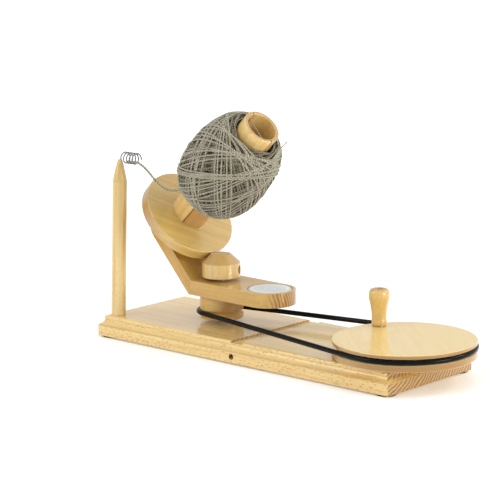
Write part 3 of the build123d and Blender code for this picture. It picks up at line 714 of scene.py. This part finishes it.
def add_ball():
    """The wound ball, from its core out to the strands wound last. The core and the under layers
    are darker copies of the outer yarn, as painted shade.
    """
    outer = yarn("yarn_outer", dark=(92, 85, 65), mid=(148, 141, 119), light=(204, 199, 176))
    # Painted shade: the same yarn made darker for the layers under the outer strands, and darkest
    # for the core.
    lower = yarn("yarn_lower_painted_shade", dark=(58, 51, 36), mid=(96, 89, 70), light=(134, 127, 105))
    middle_yarn = yarn("yarn_middle_painted_shade", dark=(72, 65, 48), mid=(118, 111, 90),
                       light=(160, 153, 130))
    core = yarn("yarn_core_painted_shade", dark=(34, 29, 19), mid=(58, 52, 38), light=(82, 75, 58), ply=3.0)
    place_yarn("yarn_ball_core", ball_core(), core, "spool", "yarn_ball")
    wind("yarn_ball_inner", *under_layer(64, 44, 58, -0.7), lower)
    wind("yarn_ball_middle", *under_layer(44, 50, 64, 0.0), middle_yarn)
    wind("yarn_ball_mouth", *under_layer(40, 61, 66.5, -3.6), middle_yarn)
    wind("yarn_ball_steep", *top_bundles(7, 5, 62, 0.9, 6.0, 1.2), outer)
    wind("yarn_ball_outer", *top_bundles(3, 3, 57, 1.5, 7.0, 1.8), outer)
    wind("yarn_ball_last", *last_strands(), outer)
    place_yarn("yarn_fuzz", yarn_fuzz(700), outer, "spool", "yarn_ball")


# ---- finish of the CAD nodes ----

def paint(node, material):
    """A CAD node's mesh gets this material alone."""
    mesh = frame["nodes"][node].data
    mesh.materials.clear()
    mesh.materials.append(material)


def paint_wood():
    """Each wooden piece has a grain of its own, and the dowels share one."""
    honey = dict(pale=(203, 164, 80), warm=(188, 144, 64), coat=0.45)
    paint("base_board", wood("beech_board", EAST, middle("base_board"), 1, fleck=0.75,
                             pith=(0.092, -0.077), ring=5.0, end_share=1.0,
                             pale=(236, 206, 134), warm=(222, 184, 112), extra=board_streak))
    paint("drive_wheel", wood("beech_wheel", (0.75, -0.66, 0), middle("drive_wheel"), 2,
                              pale=(232, 203, 130), warm=(225, 193, 119), ring_share=0.1,
                              extra=wheel_rim))
    paint("handle_grip", wood("beech_grip", UP, middle("handle_grip"), 3, pith=(0.02, 0.01),
                              pale=(220, 186, 112), coat=0.5))
    paint("pulley", wood("beech_pulley", ARM_AXIS, middle("pulley"), 4, end_share=0.25, **honey))
    paint("arm_horizontal", wood("beech_level_arm", ARM_AXIS, middle("arm_horizontal"), 5,
                                 pith=(0.15, 0.01), ring=4.2, end_share=0.85,
                                 extra=counterweight_gap_shade, **honey))
    paint("arm_inclined", wood("beech_raised_arm", RAISED_ARM_AXIS, middle("arm_inclined"), 6,
                               **honey))
    paint("cone_knob", wood("beech_knob", UP, middle("cone_knob"), 7, pith=(0.02, 0.01),
                            pale=(212, 180, 110), warm=(200, 164, 92), end_share=0.25))
    paint("guide_post", wood("beech_post", (0.047, 0, 1), middle("guide_post"), 8,
                             pith=(0.012, 0.02), pale=(224, 200, 136)))
    paint("friction_disc", wood("beech_disc", SIDEWAYS * 0.82 + ACROSS * 0.57, SPOOL_ORIGIN,
                                9, ring_share=0.08, pale=(210, 178, 104), warm=(194, 158, 84)))
    paint("spool_boss", wood("beech_boss", SIDEWAYS, middle("spool_boss"), 10))
    paint("spool_tube", wood("beech_core", ALONG, SPOOL_ORIGIN, 11, pith=(0.004, 0.003),
                             pale=(234, 202, 134), warm=(218, 180, 108),
                             extra=tube_dark_line_and_side))
    dowels = wood("beech_dowel", UP, middle("pulley_dowels"), 12, ring=1.8)
    paint("pulley_dowels", dowels)
    paint("elbow_dowels", dowels)


# The zinc-plated hardware by the axis that it was turned on
HARDWARE = {
    "wheel": (UP, middle("wheel_axle_bolt"),
              ["wheel_axle_bolt", "wheel_axle_nut", "wheel_spacer", "wheel_bearing_inner_races",
               "wheel_bearing_outer_races"]),
    "shaft": (UP, middle("pulley_shaft"),
              ["pulley_shaft", "shaft_nut", "shaft_washer", "pulley_spacer", "shaft_sleeve",
               "shaft_bearing_inner_races", "knob_collar", "knob_set_screw",
               "flyer_bearing_outer_races"]),
    "grip": (UP, middle("grip_screw"), ["grip_screw", "grip_washer"]),
    "foot": (UP, middle("foot_screws"), ["foot_screws"]),
    "spool": (ALONG, SPOOL_ORIGIN,
              ["spool_axle_bolt", "spool_washer", "spool_sleeve", "spool_bearing_inner_races",
               "spool_axle_nut", "spool_bearing_outer_races"]),
}


def paint_metal():
    zinc, zinc_shine = (190, 191, 190), (0.24, 0.36)
    for name, (axis, centre, nodes) in HARDWARE.items():
        finish = steel("steel_" + name, axis, centre, zinc, zinc_shine)
        for node in nodes:
            paint(node, finish)
    paint("counterweight_disc", steel("steel_counterweight", UP, COUNTERWEIGHT_CENTRE,
                                      (244, 249, 244), (0.3, 0.42), 1400.0))
    paint("yarn_guide_coil", steel("steel_wire", EAST, middle("yarn_guide_coil"),
                                   (150, 152, 154), (0.1, 0.18), 500.0))


def paint_rubber():
    paint("drive_belt", rubber("rubber_belt", (4, 5, 7), (0.2, 0.28), 0.06))
    paint("rubber_feet", rubber("rubber_feet", (14, 14, 14), (0.55, 0.7), 0.2))


# ---- studio ----

def add_floor():
    """White paper with a faint glow that grows with distance, so that its far edge is lost."""
    mesh = bpy.data.meshes.new("studio_floor")
    span = 1.9
    mesh.from_pydata([(-span, -span, 0), (span, -span, 0), (span, span, 0), (-span, span, 0)], [],
                     [(0, 1, 2, 3)])
    floor = bpy.data.objects.new("studio_floor", mesh)
    scene.collection.objects.link(floor)
    shader = Shader("studio_paper")
    place = shader.node("TexCoord").outputs["Object"]
    speckle = shader.noise(place, 400.0, 2.0)
    glow = shader.band(shader.vector("LENGTH", place, out="Value"), 0.5, 1.6, 0.12, 0.42)
    colour = shader.mix(shader.band(speckle, 0.3, 0.7), rgb(246, 246, 246), rgb(250, 250, 250))
    mesh.materials.append(shader.finish(Base_Color=colour, Roughness=0.9, Specular_IOR_Level=0.1,
                                        Emission_Color=(1, 1, 1, 1), Emission_Strength=glow))


def add_light(name, place, target, size, power):
    data = bpy.data.lights.new(name, "AREA")
    data.shape = "RECTANGLE"
    data.size, data.size_y = size
    data.energy = power
    lamp = bpy.data.objects.new(name, data)
    lamp.location = place
    lamp.rotation_euler = (Vector(target) - Vector(place)).to_track_quat("-Z", "Y").to_euler()
    scene.collection.objects.link(lamp)


def add_studio():
    """White paper under soft lights. The world is brighter where the camera sees it."""
    add_floor()
    world = bpy.data.worlds.new("studio")
    scene.world = world
    world.use_nodes = True
    tree = world.node_tree
    background = tree.nodes["Background"]
    background.inputs["Color"].default_value = (1, 1, 1, 1)
    seen = tree.nodes.new("ShaderNodeLightPath")
    strength = tree.nodes.new("ShaderNodeMapRange")
    strength.inputs["To Min"].default_value = 0.75
    strength.inputs["To Max"].default_value = 1.15
    tree.links.new(seen.outputs["Is Camera Ray"], strength.inputs["Value"])
    tree.links.new(strength.outputs["Result"], background.inputs["Strength"])
    target = (0, 0, 0.1)
    add_light("key", (-1.2, -2.0, 1.4), target, (1.2, 1.2), 17)
    add_light("top", (-0.2, 0.3, 2.4), target, (2.4, 2.0), 14)
    add_light("right", (2.4, 0.4, 0.7), target, (0.9, 0.9), 27)
    add_light("back", (1.02, 1.6, 1.55), target, (0.5, 0.5), 8)
    scene.view_settings.view_transform = "Standard"


add_camera()
loose = yarn("yarn_loose", dark=(84, 78, 60), mid=(158, 152, 129), light=(206, 201, 178))
loose_yarn("yarn_to_ball", "yarn_strand", in_world(STRAND_POINTS), 1.7 * MM, "base",
           loose)
loose_yarn("yarn_in_mouth", "mouth_yarn_tail", in_spool(MOUTH_TAIL_POINTS), 0.8 * MM, "spool",
           loose)
loose_yarn("yarn_end", "loose_yarn_end", in_spool(LOOSE_END_POINTS), 0.8 * MM, "spool",
           loose)
add_ball()
paint_wood()
paint_metal()
paint_rubber()
add_studio()
